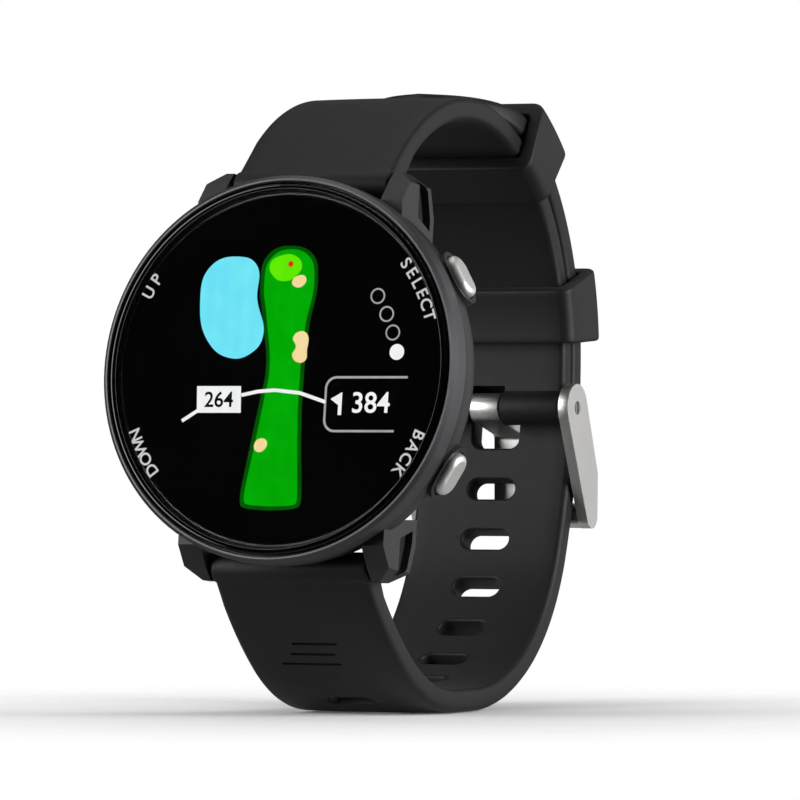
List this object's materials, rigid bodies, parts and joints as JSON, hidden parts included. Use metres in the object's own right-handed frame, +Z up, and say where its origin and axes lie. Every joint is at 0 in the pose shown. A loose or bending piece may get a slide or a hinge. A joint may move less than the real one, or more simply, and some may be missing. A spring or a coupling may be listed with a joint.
{
  "type": "golf gps watch",
  "caption": "Round sports watch for golf with a flat colour display, side push buttons and a black silicone strap buckled into a standing loop.",
  "frame": {"origin": "on the surface the buckled strap stands on, under the middle of the whole object's box", "axes": "+Z up, +X towards the face's three o'clock, -Y is the way the face looks, and the buckle is on the +Y side"},
  "size_m": [0.045, 0.0689, 0.0731],
  "materials": {
    "lens_glass": "clear hardened glass, polished",
    "bezel_coating": "black coated metal, fine satin",
    "case_plastic": "black glass-filled nylon, fine moulded texture",
    "display_stack": "bonded colour display, black when unlit",
    "button_metal": "turned and blasted stainless steel, satin",
    "screw_steel": "stainless steel",
    "contact_gold": "gold plated",
    "seal_rubber": "black silicone seal",
    "board": "green solder mask",
    "shield": "tinned steel can",
    "ceramic_antenna": "ceramic patch with silvered top",
    "battery_wrap": "aluminium laminate pouch",
    "foam": "black foam pad",
    "flex": "amber polyimide ribbon",
    "frame_plastic": "dark grey ABS",
    "motor_steel": "steel can",
    "strap_silicone": "black silicone rubber, fine matt moulded skin",
    "buckle_steel": "stainless steel, satin with polished edges",
    "bar_steel": "stainless steel"
  },
  "bodies": {
    "root": {"mid_case": "case_plastic", "bezel_ring": "bezel_coating", "lens": "lens_glass", "lens_gasket": "seal_rubber", "display_module": "display_stack", "display_flex": "flex", "inner_frame": "frame_plastic", "main_board": "board", "shield_can": "shield", "gps_antenna": "ceramic_antenna", "battery": "battery_wrap", "battery_pad": "foam", "vibration_motor": "motor_steel", "side_switches": "frame_plastic", "button_seals": "seal_rubber", "back_cover": "case_plastic", "back_gasket": "seal_rubber", "back_screws": "screw_steel", "charge_contacts": "contact_gold", "contact_carrier": "frame_plastic", "spring_bar_top": "bar_steel", "spring_bar_bottom": "bar_steel", "strap_short": "strap_silicone", "strap_long": "strap_silicone", "buckle_pin": "buckle_steel"},
    "button_select_body": {"button_select": "button_metal", "clip_select": "bar_steel"},
    "button_back_body": {"button_back": "button_metal", "clip_back": "bar_steel"},
    "button_up_body": {"button_up": "button_metal", "clip_up": "bar_steel"},
    "button_down_body": {"button_down": "button_metal", "clip_down": "bar_steel"},
    "release_top_body": {"release_lever_top": "bar_steel"},
    "release_bottom_body": {"release_lever_bottom": "bar_steel"},
    "buckle_body": {"buckle_frame": "buckle_steel"},
    "tang_body": {"buckle_tang": "buckle_steel"},
    "keeper_lower_body": {"keeper_lower": "strap_silicone"},
    "keeper_upper_body": {"keeper_upper": "strap_silicone"}
  },
  "joints": [
    {"name": "button_select_press", "type": "slide", "parent": "root", "child": "button_select_body", "axis": [-0.866, -0.0653, -0.4957], "range_m": [0, 0.0005], "stiffness_N_per_m": 2400, "springref_m": -0.0004},
    {"name": "button_back_press", "type": "slide", "parent": "root", "child": "button_back_body", "axis": [-0.866, 0.0653, 0.4957], "range_m": [0, 0.0005], "stiffness_N_per_m": 2400, "springref_m": -0.0004},
    {"name": "button_up_press", "type": "slide", "parent": "root", "child": "button_up_body", "axis": [0.866, -0.0653, -0.4957], "range_m": [0, 0.0005], "stiffness_N_per_m": 2400, "springref_m": -0.0004},
    {"name": "button_down_press", "type": "slide", "parent": "root", "child": "button_down_body", "axis": [0.866, 0.0653, 0.4957], "range_m": [0, 0.0005], "stiffness_N_per_m": 2400, "springref_m": -0.0004},
    {"name": "release_top_slide", "type": "slide", "parent": "root", "child": "release_top_body", "axis": [-1, 0, 0], "range_m": [0, 0.0014], "stiffness_N_per_m": 300, "springref_m": -0.001},
    {"name": "release_bottom_slide", "type": "slide", "parent": "root", "child": "release_bottom_body", "axis": [-1, 0, 0], "range_m": [0, 0.0014], "stiffness_N_per_m": 300, "springref_m": -0.001},
    {"name": "buckle_swing", "type": "hinge", "parent": "root", "child": "buckle_body", "pos_m": [0, 0.02708, 0.03581], "axis": [1, 0, 0], "range_deg": [0, 2.4]},
    {"name": "tang_lift", "type": "hinge", "parent": "buckle_body", "child": "tang_body", "pos_m": [0, 0.02708, 0.03581], "axis": [1, 0, 0], "range_deg": [0, 2]},
    {"name": "keeper_lower_slide", "type": "hinge", "parent": "root", "child": "keeper_lower_body", "pos_m": [0, -0.00062, 0.04219], "axis": [1, 0, 0], "range_deg": [-2.6, 14]},
    {"name": "keeper_upper_slide", "type": "hinge", "parent": "root", "child": "keeper_upper_body", "pos_m": [0, -0.00062, 0.04219], "axis": [1, 0, 0], "range_deg": [-12.4, 12]}
  ]
}
